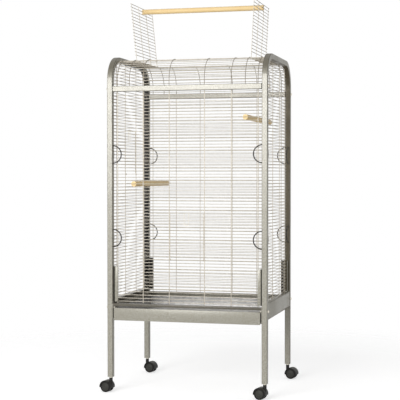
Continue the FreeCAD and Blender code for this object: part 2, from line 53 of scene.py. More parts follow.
def aimCamera(settings):
    yaw = math.radians(settings["yaw"])
    pitch = math.radians(settings["pitch"])
    data = bpy.data.cameras.new("photoCamera")
    data.lens = settings["lens"]
    data.sensor_width = settings["sensor"]
    camera = bpy.data.objects.new("photoCamera", data)
    ahead = Vector((-math.sin(yaw) * math.cos(pitch), math.cos(yaw) * math.cos(pitch), -math.sin(pitch)))
    camera.rotation_mode = "QUATERNION"
    camera.rotation_quaternion = ahead.to_track_quat("-Z", "Y")
    camera.location = settings["place"]
    bpy.context.scene.collection.objects.link(camera)
    bpy.context.scene.camera = camera


aimCamera(cameraSettings)
print("camera set")


# Shader groups that several finishes share

def newGroup(name, inputs, outputs):
    group = bpy.data.node_groups.new(name, "ShaderNodeTree")
    for label, kind, value in inputs:
        socket = group.interface.new_socket(name=label, in_out="INPUT", socket_type="NodeSocket" + kind)
        if value is not None:
            socket.default_value = value
    for label, kind in outputs:
        group.interface.new_socket(name=label, in_out="OUTPUT", socket_type="NodeSocket" + kind)
    entry = group.nodes.new("NodeGroupInput")
    leave = group.nodes.new("NodeGroupOutput")
    return group, entry, leave


def addNode(tree, kind, **values):
    node = tree.nodes.new("ShaderNode" + kind)
    for name, value in values.items():
        if hasattr(node, name):
            setattr(node, name, value)
        else:
            node.inputs[name].default_value = value
    return node


def join(tree, output, socket):
    tree.links.new(output, socket)


def mathNode(tree, operation, first, second=None):
    node = addNode(tree, "Math", operation=operation)
    for socket, value in zip(node.inputs, (first, second)):
        if value is None:
            continue
        if isinstance(value, (int, float)):
            socket.default_value = value
        else:
            join(tree, value, socket)
    return node.outputs[0]


def noiseNode(tree, vector, scale, detail=3, roughness=0.5):
    node = addNode(tree, "TexNoise")
    node.inputs["Detail"].default_value = detail
    node.inputs["Roughness"].default_value = roughness
    join(tree, vector, node.inputs["Vector"])
    if isinstance(scale, (int, float)):
        node.inputs["Scale"].default_value = scale
    else:
        join(tree, scale, node.inputs["Scale"])
    return node.outputs[0]


def rangeNode(tree, value, low, high, toLow=0, toHigh=1):
    node = addNode(tree, "MapRange")
    node.inputs["From Min"].default_value = low
    node.inputs["From Max"].default_value = high
    node.inputs["To Min"].default_value = toLow
    node.inputs["To Max"].default_value = toHigh
    join(tree, value, node.inputs["Value"])
    return node.outputs[0]


# Dimples of a hammered enamel: a bump and a mask that is high in the hollows
def buildDimples():
    group, entry, leave = newGroup("hammerDimples", [("Cells", "Float", 260), ("Wander", "Float", 0.4)],
                                   [("Height", "Float"), ("Hollows", "Float")])
    place = addNode(group, "TexCoord").outputs["Object"]
    drift = addNode(group, "TexNoise", Scale=90)
    join(group, place, drift.inputs["Vector"])
    spread = addNode(group, "VectorMath", operation="SCALE")
    join(group, drift.outputs["Color"], spread.inputs[0])
    join(group, mathNode(group, "MULTIPLY", entry.outputs["Wander"], 0.01), spread.inputs["Scale"])
    shifted = addNode(group, "VectorMath", operation="ADD")
    join(group, place, shifted.inputs[0])
    join(group, spread.outputs[0], shifted.inputs[1])
    cells = addNode(group, "TexVoronoi", feature="SMOOTH_F1")
    cells.inputs["Smoothness"].default_value = 0.6
    join(group, shifted.outputs[0], cells.inputs["Vector"])
    join(group, entry.outputs["Cells"], cells.inputs["Scale"])
    distance = cells.outputs["Distance"]
    join(group, distance, leave.inputs["Height"])
    join(group, rangeNode(group, distance, 0.15, 0.6, 1, 0), leave.inputs["Hollows"])
    return group


# Mask along outer edges, broken up so that the wear isn't even
def buildEdgeWear():
    group, entry, leave = newGroup("edgeWear", [("Reach", "Float", 0.001), ("Breakup", "Float", 60)],
                                   [("Mask", "Float")])
    place = addNode(group, "TexCoord").outputs["Object"]
    softened = addNode(group, "Bevel", samples=4)
    join(group, entry.outputs["Reach"], softened.inputs["Radius"])
    surface = addNode(group, "NewGeometry")
    dot = addNode(group, "VectorMath", operation="DOT_PRODUCT")
    join(group, softened.outputs[0], dot.inputs[0])
    join(group, surface.outputs["Normal"], dot.inputs[1])
    edge = rangeNode(group, dot.outputs["Value"], 0.995, 0.88)
    patches = rangeNode(group, noiseNode(group, place, entry.outputs["Breakup"], 5, 0.65), 0.42, 0.62)
    join(group, mathNode(group, "MULTIPLY", edge, patches), leave.inputs["Mask"])
    return group


# Painted shade on the round corners of the tube, in the dark colour of the undercoat. Bent tubes lie in
# the YZ plane, so that only the sideways part of their normal tells a corner
def buildCornerShade():
    group, entry, leave = newGroup("tubeCornerShade", [("Bent", "Float", 0), ("Breakup", "Float", 40)],
                                   [("Mask", "Float")])
    coordinates = addNode(group, "TexCoord")
    parts = addNode(group, "SeparateXYZ")
    join(group, coordinates.outputs["Normal"], parts.inputs[0])
    sizes = [mathNode(group, "ABSOLUTE", parts.outputs[axis]) for axis in "XYZ"]
    largest = mathNode(group, "MAXIMUM", mathNode(group, "MAXIMUM", sizes[0], sizes[1]), sizes[2])
    straight = rangeNode(group, largest, 0.97, 0.88)
    outOfPlane = rangeNode(group, sizes[0], 0.2, 0.35)
    shortOfSide = rangeNode(group, sizes[0], 0.97, 0.9)
    bend = mathNode(group, "MULTIPLY", outOfPlane, shortOfSide)
    ofBent = mathNode(group, "MULTIPLY", bend, entry.outputs["Bent"])
    unbent = mathNode(group, "SUBTRACT", 1, entry.outputs["Bent"])
    chosen = mathNode(group, "ADD", ofBent, mathNode(group, "MULTIPLY", straight, unbent))
    clouds = noiseNode(group, coordinates.outputs["Object"], entry.outputs["Breakup"], 4)
    patches = rangeNode(group, clouds, 0.3, 0.6, 0.55, 0.95)
    join(group, mathNode(group, "MULTIPLY", chosen, patches), leave.inputs["Mask"])
    return group


# Mask of the painted shade along an arch's inner face: Run is half the arch's level part, Rise the
# height at which its posts start to bend and Foot the lower end of the shaded strip, in metres
def buildInnerShade():
    group, entry, leave = newGroup("archInnerShade", [("Run", "Float", 0.17), ("Rise", "Float", 1.403),
                                                 ("Foot", "Float", 0.424)], [("Mask", "Float")])
    coordinates = addNode(group, "TexCoord")
    place = addNode(group, "SeparateXYZ")
    join(group, coordinates.outputs["Object"], place.inputs[0])
    nearest = addNode(group, "Clamp")
    join(group, place.outputs["Y"], nearest.inputs["Value"])
    join(group, mathNode(group, "MULTIPLY", entry.outputs["Run"], -1), nearest.inputs["Min"])
    join(group, entry.outputs["Run"], nearest.inputs["Max"])
    inward = addNode(group, "CombineXYZ")
    join(group, mathNode(group, "SUBTRACT", nearest.outputs[0], place.outputs["Y"]), inward.inputs["Y"])
    level = mathNode(group, "MINIMUM", place.outputs["Z"], entry.outputs["Rise"])
    join(group, mathNode(group, "SUBTRACT", level, place.outputs["Z"]), inward.inputs["Z"])
    heading = addNode(group, "VectorMath", operation="NORMALIZE")
    join(group, inward.outputs[0], heading.inputs[0])
    dot = addNode(group, "VectorMath", operation="DOT_PRODUCT")
    join(group, heading.outputs[0], dot.inputs[0])
    join(group, coordinates.outputs["Normal"], dot.inputs[1])
    facing = rangeNode(group, dot.outputs["Value"], 0.9, 0.97)
    above = mathNode(group, "SUBTRACT", place.outputs["Z"], entry.outputs["Foot"])
    started = rangeNode(group, above, 0, 0.002)
    join(group, mathNode(group, "MULTIPLY", facing, started), leave.inputs["Mask"])
    return group


# Crystals of hot dip zinc: shade differs from cell to cell, with fine drawn streaks
def buildSpangle():
    group, entry, leave = newGroup("zincSpangle", [("Crystals", "Float", 70), ("Streaks", "Float", 900)],
                                   [("Shade", "Float"), ("Height", "Float")])
    place = addNode(group, "TexCoord").outputs["Object"]
    cells = addNode(group, "TexVoronoi", feature="F1")
    cells.inputs["Randomness"].default_value = 1
    join(group, place, cells.inputs["Vector"])
    join(group, entry.outputs["Crystals"], cells.inputs["Scale"])
    tone = addNode(group, "SeparateColor")
    join(group, cells.outputs["Color"], tone.inputs[0])
    streaks = noiseNode(group, place, entry.outputs["Streaks"], 2)
    mixed = mathNode(group, "ADD", mathNode(group, "MULTIPLY", tone.outputs[0], 0.7),
                     mathNode(group, "MULTIPLY", streaks, 0.3))
    join(group, mixed, leave.inputs["Shade"])
    join(group, streaks, leave.inputs["Height"])
    return group


# Handling marks and settled dust: dust lies where the rest normal looks up
def buildSoiling():
    group, entry, leave = newGroup("soiling", [("Size", "Float", 14), ("Dust", "Float", 0.5)],
                                   [("Smudges", "Float"), ("Dust", "Float")])
    coordinates = addNode(group, "TexCoord")
    place = coordinates.outputs["Object"]
    broad = rangeNode(group, noiseNode(group, place, entry.outputs["Size"], 5, 0.6), 0.35, 0.7)
    join(group, broad, leave.inputs["Smudges"])
    upward = addNode(group, "SeparateXYZ")
    join(group, coordinates.outputs["Normal"], upward.inputs[0])
    level = rangeNode(group, upward.outputs["Z"], 0.3, 1)
    grains = rangeNode(group, noiseNode(group, place, 420, 2), 0.35, 0.65)
    settled = mathNode(group, "MULTIPLY", mathNode(group, "MULTIPLY", level, grains), entry.outputs["Dust"])
    join(group, settled, leave.inputs["Dust"])
    return group


# Turned wood along Y of the given vector: year rings, fibres and pores
def buildGrain():
    group, entry, leave = newGroup("woodGrain", [("Vector", "Vector", None), ("Rings", "Float", 210)],
                                   [("Rings", "Float"), ("Fibres", "Float"), ("Height", "Float")])
    stretched = addNode(group, "Mapping")
    stretched.inputs["Scale"].default_value = (1, 0.05, 1)
    join(group, entry.outputs["Vector"], stretched.inputs["Vector"])
    wander = noiseNode(group, stretched.outputs[0], 45, 2)
    shift = addNode(group, "Mapping")
    shift.inputs["Location"].default_value = (0.016, 0, 0.011)
    join(group, stretched.outputs[0], shift.inputs["Vector"])
    flat = addNode(group, "Mapping")
    flat.inputs["Scale"].default_value = (1, 0, 1)
    join(group, shift.outputs[0], flat.inputs["Vector"])
    length = addNode(group, "VectorMath", operation="LENGTH")
    join(group, flat.outputs[0], length.inputs[0])
    turns = mathNode(group, "MULTIPLY", length.outputs["Value"], entry.outputs["Rings"])
    turns = mathNode(group, "ADD", turns, mathNode(group, "MULTIPLY", wander, 2.2))
    saw = mathNode(group, "FRACT", turns)
    join(group, mathNode(group, "POWER", saw, 2.5), leave.inputs["Rings"])
    fine = addNode(group, "Mapping")
    fine.inputs["Scale"].default_value = (1, 0.02, 1)
    join(group, entry.outputs["Vector"], fine.inputs["Vector"])
    fibres = noiseNode(group, fine.outputs[0], 1500, 4, 0.6)
    join(group, fibres, leave.inputs["Fibres"])
    join(group, rangeNode(group, fibres, 0.3, 0.6), leave.inputs["Height"])
    return group


hammerDimples = buildDimples()
edgeWear = buildEdgeWear()
tubeCornerShade = buildCornerShade()
archInnerShade = buildInnerShade()
zincSpangle = buildSpangle()
soiling = buildSoiling()
woodGrain = buildGrain()


def newMaterial(name):
    material = bpy.data.materials.new(name)
    material.use_nodes = True
    tree = material.node_tree
    return material, tree, tree.nodes["Principled BSDF"]


def placeGroup(tree, group, **values):
    node = tree.nodes.new("ShaderNodeGroup")
    node.node_tree = group
    for name, value in values.items():
        node.inputs[name].default_value = value
    return node


def mixColours(tree, factor, first, second):
    node = addNode(tree, "Mix", data_type="RGBA")
    for socket, value in ((node.inputs[0], factor), (node.inputs[6], first), (node.inputs[7], second)):
        if isinstance(value, (tuple, list)):
            socket.default_value = (*value, 1)
        elif isinstance(value, (int, float)):
            socket.default_value = value
        else:
            join(tree, value, socket)
    return node.outputs[2]


def addBump(tree, shader, height, distance, strength=1):
    bump = addNode(tree, "Bump")
    bump.inputs["Strength"].default_value = strength
    bump.inputs["Distance"].default_value = distance
    join(tree, height, bump.inputs["Height"])
    join(tree, bump.outputs["Normal"], shader.inputs["Normal"])


# Colours are given as they show on a screen, and shaders take them linear
def fromScreen(red, green, blue):
    return tuple(((value / 255 + 0.055) / 1.055) ** 2.4 for value in (red, green, blue))


# Hammered enamel in a warm grey with a clear gloss. The dark undercoat shows at its worn edges, and the
# same dark colour is painted shade on the tubes' round corners.
# In bent tubes the strip inside the arch and the upward sides are darker as painted shade
paintSettings = {
    "colour": fromScreen(168, 165, 153),
    "hollow": fromScreen(132, 127, 112),
    "bare": fromScreen(64, 58, 46),
    "innerShade": fromScreen(20, 19, 18),
    "upper": fromScreen(92, 86, 72),
    "dust": fromScreen(190, 186, 176),
    "wornShare": 0.6,
    "smudgeShade": 0.14,
    "smudgeRoughness": 0.12,
    "upperSlope": (0.12, 0.5),
    "upperShare": 0.7,
    "metallic": 0.12,
    "roughness": 0.27,
    "specular": 0.12,
    "coat": 0.95,
    "coatRoughness": 0.25,
    "coatFade": (0.42, 0.72),
    "cells": 240,
    "bumpDepth": 0.00035,
    "bumpStrength": 0.6,
}


# bent is 1 for the arches, whose tube is bent, and 0 for everything straight
def makePaint(name, settings, bent):
    material, tree, shader = newMaterial(name)
    dimples = placeGroup(tree, hammerDimples, Cells=settings["cells"], Wander=0.5)
    wear = placeGroup(tree, edgeWear, Reach=0.0012, Breakup=55)
    cornerShade = placeGroup(tree, tubeCornerShade, Bent=bent, Breakup=40)
    marks = placeGroup(tree, soiling, Size=9, Dust=0.25)
    smudges = marks.outputs["Smudges"]
    colour = mixColours(tree, dimples.outputs["Hollows"], settings["colour"], settings["hollow"])
    shade = rangeNode(tree, smudges, 0, 1, 0, settings["smudgeShade"])
    colour = mixColours(tree, shade, colour, settings["hollow"])
    colour = mixColours(tree, marks.outputs["Dust"], colour, settings["dust"])
    # Worn edges, and the painted shade on the tube corners, both take the undercoat colour
    worn = mathNode(tree, "MULTIPLY", wear.outputs["Mask"], settings["wornShare"])
    edges = mathNode(tree, "MAXIMUM", worn, cornerShade.outputs["Mask"])
    colour = mixColours(tree, edges, colour, settings["bare"])
    # Painted shade on the upward sides of bent tubes
    heading = addNode(tree, "SeparateXYZ")
    join(tree, addNode(tree, "TexCoord").outputs["Normal"], heading.inputs[0])
    upward = rangeNode(tree, heading.outputs["Z"], *settings["upperSlope"], 0, settings["upperShare"])
    upper = mathNode(tree, "MULTIPLY", upward, bent)
    colour = mixColours(tree, upper, colour, settings["upper"])
    # Painted shade along the inside of the arches
    strip = placeGroup(tree, archInnerShade)
    innerShaded = mathNode(tree, "MULTIPLY", strip.outputs["Mask"], bent)
    colour = mixColours(tree, innerShaded, colour, settings["innerShade"])
    join(tree, colour, shader.inputs["Base Color"])
    edgeOn = rangeNode(tree, addNode(tree, "LayerWeight").outputs["Facing"], *settings["coatFade"])
    dull = mathNode(tree, "MAXIMUM", mathNode(tree, "MAXIMUM", edgeOn, innerShaded), upper)
    join(tree, rangeNode(tree, dull, 0, 1, settings["coat"], 0), shader.inputs["Coat Weight"])
    smeared = rangeNode(tree, smudges, 0, 1, 0, settings["smudgeRoughness"])
    rough = mathNode(tree, "ADD", smeared, settings["roughness"])
    join(tree, rough, shader.inputs["Roughness"])
    shader.inputs["Metallic"].default_value = settings["metallic"]
    shader.inputs["Specular IOR Level"].default_value = settings["specular"]
    shader.inputs["Coat Roughness"].default_value = settings["coatRoughness"]
    addBump(tree, shader, dimples.outputs["Height"], settings["bumpDepth"], settings["bumpStrength"])
    return material


# The front rail is the same enamel, darkened all over as painted shade
shadedRailSettings = dict(paintSettings, colour=fromScreen(98, 93, 81), hollow=fromScreen(74, 69, 58))

# The painted shade inside the right arch is grey, where that inside the left one is nearly black
rightArchSettings = dict(paintSettings, innerShade=fromScreen(104, 97, 82))


# Zinc, for the mesh, the tray, the bolts, the clips and the hoops. The darker colour for a
# wire's underside is painted shade
zincDust = fromScreen(205, 200, 188)
zincSettings = {
    "meshWire": {"colour": fromScreen(233, 226, 213), "deep": fromScreen(198, 190, 174), "metallic": 0.3,
                 "roughness": 0.34, "crystals": 180, "streaks": 1400, "dust": 0.1,
                 "under": fromScreen(96, 84, 65)},
    # The bent roof uprights take the mesh wire darker, as painted shade
    "bendWireShaded": {"colour": fromScreen(158, 149, 134), "deep": fromScreen(128, 118, 103), "metallic": 0.3,
                 "roughness": 0.36, "crystals": 180, "streaks": 1400, "dust": 0.1},
    "traySheet": {"colour": fromScreen(186, 185, 183), "deep": fromScreen(150, 149, 148), "metallic": 0.75,
                  "roughness": 0.28, "crystals": 55, "streaks": 700, "dust": 0.3},
    "clipZinc": {"colour": fromScreen(244, 240, 228), "deep": fromScreen(222, 216, 200), "metallic": 0.5,
                 "roughness": 0.26, "crystals": 400, "streaks": 2000, "dust": 0.1},
    "boltZinc": {"colour": fromScreen(238, 233, 220), "deep": fromScreen(208, 202, 186), "metallic": 0.7,
                 "roughness": 0.24, "crystals": 400, "streaks": 2000, "dust": 0.1},
    "hoopWire": {"colour": fromScreen(50, 45, 39), "deep": fromScreen(32, 28, 24), "metallic": 0.3,
                 "roughness": 0.34, "crystals": 260, "streaks": 1500, "dust": 0.15},
}


def makeZinc(name):
    settings = zincSettings[name]
    material, tree, shader = newMaterial(name)
    spangle = placeGroup(tree, zincSpangle, Crystals=settings["crystals"], Streaks=settings["streaks"])
    marks = placeGroup(tree, soiling, Size=22, Dust=settings["dust"])
    colour = mixColours(tree, spangle.outputs["Shade"], settings["deep"], settings["colour"])
    colour = mixColours(tree, marks.outputs["Dust"], colour, zincDust)
    # Painted shade on the downward side of the wires
    if "under" in settings:
        parts = addNode(tree, "SeparateXYZ")
        join(tree, addNode(tree, "TexCoord").outputs["Normal"], parts.inputs[0])
        undersideShade = rangeNode(tree, parts.outputs["Z"], -0.1, -0.6, 0, 0.9)
        colour = mixColours(tree, undersideShade, colour, settings["under"])
    join(tree, colour, shader.inputs["Base Color"])
    plain = settings["roughness"]
    spread = rangeNode(tree, spangle.outputs["Shade"], 0, 1, plain + 0.1, plain)
    rough = mathNode(tree, "ADD", spread, rangeNode(tree, marks.outputs["Smudges"], 0, 1, 0, 0.12))
    join(tree, rough, shader.inputs["Roughness"])
    shader.inputs["Metallic"].default_value = settings["metallic"]
    addBump(tree, shader, spangle.outputs["Height"], 0.00004, 0.5)
    return material


# Moulded plastic with a fine erosion grain
plasticDust = fromScreen(140, 135, 125)
plasticSettings = {
    "casterPlastic": {"colour": fromScreen(20, 19, 17), "worn": fromScreen(52, 50, 46), "roughness": 0.4},
    "treadPlastic": {"colour": fromScreen(18, 17, 15), "worn": fromScreen(48, 46, 42), "roughness": 0.5},
    "discPlastic": {"colour": fromScreen(52, 52, 48), "worn": fromScreen(80, 79, 74), "roughness": 0.36},
    "plugPlastic": {"colour": fromScreen(24, 23, 21), "worn": fromScreen(58, 56, 52), "roughness": 0.5},
}


def makePlastic(name):
    settings = plasticSettings[name]
    material, tree, shader = newMaterial(name)
    wear = placeGroup(tree, edgeWear, Reach=0.0008, Breakup=120)
    marks = placeGroup(tree, soiling, Size=40, Dust=0.35)
    place = addNode(tree, "TexCoord").outputs["Object"]
    grain = noiseNode(tree, place, 3200, 2)
    smudges = marks.outputs["Smudges"]
    colour = mixColours(tree, rangeNode(tree, smudges, 0, 1, 0, 0.25), settings["colour"], settings["worn"])
    rubbed = mathNode(tree, "MULTIPLY", wear.outputs["Mask"], 0.6)
    colour = mixColours(tree, rubbed, colour, settings["worn"])
    colour = mixColours(tree, marks.outputs["Dust"], colour, plasticDust)
    join(tree, colour, shader.inputs["Base Color"])
    rough = mathNode(tree, "ADD", rangeNode(tree, smudges, 0, 1, 0, 0.15), settings["roughness"])
    join(tree, rough, shader.inputs["Roughness"])
    shader.inputs["Specular IOR Level"].default_value = 0.22
    addBump(tree, shader, grain, 0.00005, 0.4)
    return material


# Round sticks of pale wood, left plain
woodSettings = {
    "pale": fromScreen(255, 229, 174),
    "warm": fromScreen(240, 195, 122),
    "fibre": fromScreen(221, 178, 114),
    "roughness": 0.52,
}

# The two inner perches take a brighter, warmer copy of the wood, as painted light on their shaded sides
innerPerchLitWoodSettings = dict(woodSettings, pale=fromScreen(255, 230, 174), warm=fromScreen(246, 202, 126),
                        fibre=fromScreen(228, 188, 124))


# The grain runs along Y, so a perch along X turns its vector first
def makeWood(name, settings, turn):
    material, tree, shader = newMaterial(name)
    place = addNode(tree, "TexCoord").outputs["Object"]
    along = addNode(tree, "Mapping")
    along.inputs["Rotation"].default_value = (0, 0, math.radians(turn))
    join(tree, place, along.inputs["Vector"])
    grain = placeGroup(tree, woodGrain, Rings=230)
    join(tree, along.outputs[0], grain.inputs["Vector"])
    marks = placeGroup(tree, soiling, Size=18, Dust=0.1)
    colour = mixColours(tree, mathNode(tree, "MULTIPLY", grain.outputs["Rings"], 0.55),
                        settings["pale"], settings["warm"])
    streak = rangeNode(tree, grain.outputs["Fibres"], 0.5, 0.75, 0, 0.5)
    colour = mixColours(tree, streak, colour, settings["fibre"])
    colour = mixColours(tree, rangeNode(tree, marks.outputs["Smudges"], 0, 1, 0, 0.18), colour,
                        settings["warm"])
    join(tree, colour, shader.inputs["Base Color"])
    rough = mathNode(tree, "ADD", rangeNode(tree, grain.outputs["Fibres"], 0, 1, -0.08, 0.1),
                     settings["roughness"])
    join(tree, rough, shader.inputs["Roughness"])
    addBump(tree, shader, grain.outputs["Height"], 0.00008, 0.5)
    return material


paint = makePaint("hammeredEnamel", paintSettings, 0)
bentPaint = makePaint("hammeredEnamelBent", paintSettings, 1)
rightArchPaint = makePaint("hammeredEnamelRightArch", rightArchSettings, 1)
shadedRailPaint = makePaint("hammeredEnamelRailShaded", shadedRailSettings, 0)
meshWire = makeZinc("meshWire")
bendWireShaded = makeZinc("bendWireShaded")
traySheet = makeZinc("traySheet")
boltZinc = makeZinc("boltZinc")
clipZinc = makeZinc("clipZinc")
hoopWire = makeZinc("hoopWire")
casterPlastic = makePlastic("casterPlastic")
treadPlastic = makePlastic("treadPlastic")
discPlastic = makePlastic("discPlastic")
plugPlastic = makePlastic("plugPlastic")
crossWood = makeWood("crossWood", woodSettings, 90)
innerPerchLitWood = makeWood("innerPerchLitWood", innerPerchLitWoodSettings, 0)
print("materials made")


# Shapes as lists of points and faces in millimetres

def newShape():
    return {"points": [], "faces": []}


def addRings(shape, rings, closed=False):
    sides = len(rings[0])
    start = len(shape["points"])
    for ring in rings:
        shape["points"].extend(ring)
    count = len(rings)
    for number in range(count if closed else count - 1):
        low = start + number * sides
        high = start + (number + 1) % count * sides
        for side in range(sides):
            after = (side + 1) % sides
            shape["faces"].append((low + side, low + after, high + after, high + side))
    if not closed:
        shape["faces"].append(tuple(range(start + sides - 1, start - 1, -1)))
        last = start + (count - 1) * sides
        shape["faces"].append(tuple(range(last, last + sides)))


def acrossOf(direction):
    helper = Vector((0, 0, 1)) if abs(direction.z) < 0.9 else Vector((1, 0, 0))
    return direction.cross(helper).normalized()


# Round wire along a path. Its cut ends are rounded over by rings of (depth, share), both as
# parts of the wire's radius
wireEnd = ((0, 0.55), (0.25, 0.88), (0.7, 1))


def addWire(shape, path, radius, sides=10):
    points = [Vector(point) for point in path]
    first = (points[1] - points[0]).normalized()
    last = (points[-1] - points[-2]).normalized()
    stations = [(points[0] + first * radius * depth, share) for depth, share in wireEnd]
    stations += [(point, 1) for point in points[1:-1]]
    stations += [(points[-1] - last * radius * depth, share) for depth, share in reversed(wireEnd)]
    across = acrossOf(first)
    heading = first
    rings = []
    for number, (point, share) in enumerate(stations):
        before = stations[max(0, number - 1)][0]
        after = stations[min(len(stations) - 1, number + 1)][0]
        direction = (after - before).normalized()
        across = (heading.rotation_difference(direction) @ across).normalized()
        heading = direction
        up = direction.cross(across)
        ring = []
        for side in range(sides):
            angle = 2 * math.pi * side / sides
            ring.append(point + (across * math.cos(angle) + up * math.sin(angle)) * radius * share)
        rings.append(ring)
    addRings(shape, rings)


# Solid turned round an axis from (radius, distance) pairs
def addTurned(shape, profile, base, axis, steps=40):
    axis = Vector(axis).normalized()
    across = acrossOf(axis)
    up = axis.cross(across)
    rings = []
    for radius, distance in profile:
        ring = []
        for step in range(steps):
            angle = 2 * math.pi * step / steps
            ring.append(Vector(base) + axis * distance
                        + (across * math.cos(angle) + up * math.sin(angle)) * max(radius, 0.02))
        rings.append(ring)
    addRings(shape, rings)


# Small swelling where two wires are welded
def addWeld(shape, centre, size):
    rings = []
    for height, share in ((-1, 0.3), (-0.55, 0.85), (0.55, 0.85), (1, 0.3)):
        ring = []
        for side in range(8):
            angle = math.pi * side / 4
            ring.append(Vector(centre) + Vector((size[0] * share * math.cos(angle),
                                                 size[1] * share * math.sin(angle), size[2] * height)))
        rings.append(ring)
    addRings(shape, rings)


def finishMesh(mesh, smoothAngle):
    work = bmesh.new()
    work.from_mesh(mesh)
    bmesh.ops.recalc_face_normals(work, faces=work.faces)
    work.to_mesh(mesh)
    work.free()
    mesh.shade_smooth()
    mesh.set_sharp_from_angle(angle=math.radians(smoothAngle))


def dress(piece, material, body, replaced):
    bpy.context.scene.collection.objects.link(piece)
    piece.data.materials.clear()
    piece.data.materials.append(material)
    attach(piece, body)
    if replaced:
        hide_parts(*replaced)
    return piece


def makePiece(name, shape, material, body, replaced=(), smoothAngle=40, place=None):
    mesh = bpy.data.meshes.new(name)
    scale = Matrix.Scale(millimetre, 4)
    whole = scale @ place if place else scale
    mesh.from_pydata([whole @ Vector(point) for point in shape["points"]], [], shape["faces"])
    finishMesh(mesh, smoothAngle)
    return dress(bpy.data.objects.new(name, mesh), material, body, replaced)


# A CAD node's own shape with its hard edges rounded over by a small radius
def softCopy(name, node, material, body, radius, segments=3):
    mesh = nodes[node].data.copy()
    mesh.name = name
    if "custom_normal" in mesh.attributes:
        mesh.attributes.remove(mesh.attributes["custom_normal"])
    work = bmesh.new()
    work.from_mesh(mesh)
    bmesh.ops.remove_doubles(work, verts=work.verts, dist=2e-6)
    bmesh.ops.dissolve_limit(work, angle_limit=math.radians(1), verts=work.verts, edges=work.edges)
    sharp = math.radians(35)
    hard = [edge for edge in work.edges if len(edge.link_faces) == 2 and edge.calc_face_angle() > sharp]
    bmesh.ops.bevel(work, geom=hard, offset=radius * millimetre, segments=segments, affect="EDGES",
                    profile=0.5, clamp_overlap=True)
    work.to_mesh(mesh)
    work.free()
    finishMesh(mesh, 30)
    return dress(bpy.data.objects.new(name, mesh), material, body, [node])


# Wire mesh. Rows lie in the CAD's plane, and the uprights are welded to their outside, one
# layer out. frontUpright is the radius of the front panel's thicker uprights
meshSettings = {
    "wire": 2.8,
    "frontUpright": 1.9,
    "layer": 2.1,
    "pitch": 14.7,
    "frontRows": (413.1, 64),
    "sideRows": (427.8, 73),
    "frontUprights": (81.07, 202.863, 322.909),
    "sideUprights": (80.036, 205.118),
    "frontEnd": 342.5,
    "sideEnd": 262.5,
    "frontPlane": 268,
    "sidePlane": 348,
    "railTop": 404,
    "crossTubeFoot": 1356.5,
    "crossTubeTop": 1381.5,
    "skirtTop": 420,
    "archUnderside": 1495.5,
    "bendPlace": 170,
    "bendHeight": 1403,
    "tubeInside": 92.5,
    "roofHeight": 1504,
    "roofRadius": 101,
    "roofOpening": 165,
    "stripPitch": 15,
    "stripRows": 10,
    "bendRows": 13,
    "hingeWire": 265.986,
    "weld": (1.9, 1.9, 1.7),
}
half = meshSettings["wire"] / 2


def mirrorList(places):
    return [-place for place in reversed(places)] + list(places)


def rowHeights(rows):
    return [rows[0] + meshSettings["pitch"] * number for number in range(rows[1])]


# Upright panel in the XZ plane; outside is towards -Y. doorway is its lowest and highest row,
# reach and head say how far a row and an upright go, and thick is an upright's radius
def uprightPanel(uprights, rows, reach, foot, head, doorway=None, thick=half):
    shape = newShape()
    layer = -meshSettings["layer"]
    inner = max(place for place in uprights if place < 0)
    for row in rows:
        end = reach(row)
        if doorway and doorway[0] + 1 < row < doorway[1] - 1:
            addWire(shape, [(-end, 0, row), (inner, 0, row)], half)
            addWire(shape, [(-inner, 0, row), (end, 0, row)], half)
        else:
            addWire(shape, [(-end, 0, row), (end, 0, row)], half)
        for place in uprights:
            if row < head(place) - 2:
                addWeld(shape, (place, layer / 2, row), meshSettings["weld"])
    for place in uprights:
        addWire(shape, [(place, layer, foot), (place, layer, head(place))], thick)
    return shape


def sideReach(row):
    rise = row + half - meshSettings["bendHeight"]
    if rise <= 0:
        return meshSettings["sideEnd"]
    return meshSettings["bendPlace"] + math.sqrt(meshSettings["tubeInside"] ** 2 - rise ** 2) - 0.3


def sideHead(place):
    past = abs(place) + half - meshSettings["bendPlace"]
    if past <= 0:
        return meshSettings["archUnderside"]
    return meshSettings["bendHeight"] + math.sqrt(meshSettings["tubeInside"] ** 2 - past ** 2) - 0.3


def turnAndMove(turn, move):
    return Matrix.Translation(Vector(move)) @ Matrix.Rotation(math.radians(turn), 4, "Z")


def frontHead(place):
    return meshSettings["crossTubeFoot"]


def frontReach(row):
    return meshSettings["frontEnd"]


frontUprights = mirrorList(meshSettings["frontUprights"])
sideUprights = mirrorList(meshSettings["sideUprights"])
frontRows = rowHeights(meshSettings["frontRows"])
sideRows = rowHeights(meshSettings["sideRows"])
frontDoorway = (604.2, 824.7)
leftDoorway = (986.4, 1206.9)


def makePanels():
    front = meshSettings["frontPlane"]
    side = meshSettings["sidePlane"]
    rail = meshSettings["railTop"]
    skirt = meshSettings["skirtTop"]
    wide = uprightPanel(frontUprights, frontRows, frontReach, rail, frontHead, frontDoorway,
                        meshSettings["frontUpright"])
    plain = uprightPanel(frontUprights, frontRows, frontReach, rail, frontHead)
    leftSide = uprightPanel(sideUprights, sideRows, sideReach, skirt, sideHead, leftDoorway)
    rightSide = uprightPanel(sideUprights, sideRows, sideReach, skirt, sideHead)
    for name, shape, node, turn, move in (
            ("frontMesh", wide, "front_panel", 0, (0, -front, 0)),
            ("rearMesh", plain, "rear_panel", 180, (0, front, 0)),
            ("leftMesh", leftSide, "left_panel", -90, (-side, 0, 0)),
            ("rightMesh", rightSide, "right_panel", 90, (side, 0, 0))):
        makePiece(name, shape, meshWire, "frame", [node], place=turnAndMove(turn, move))


makePanels()
print("side panels made")


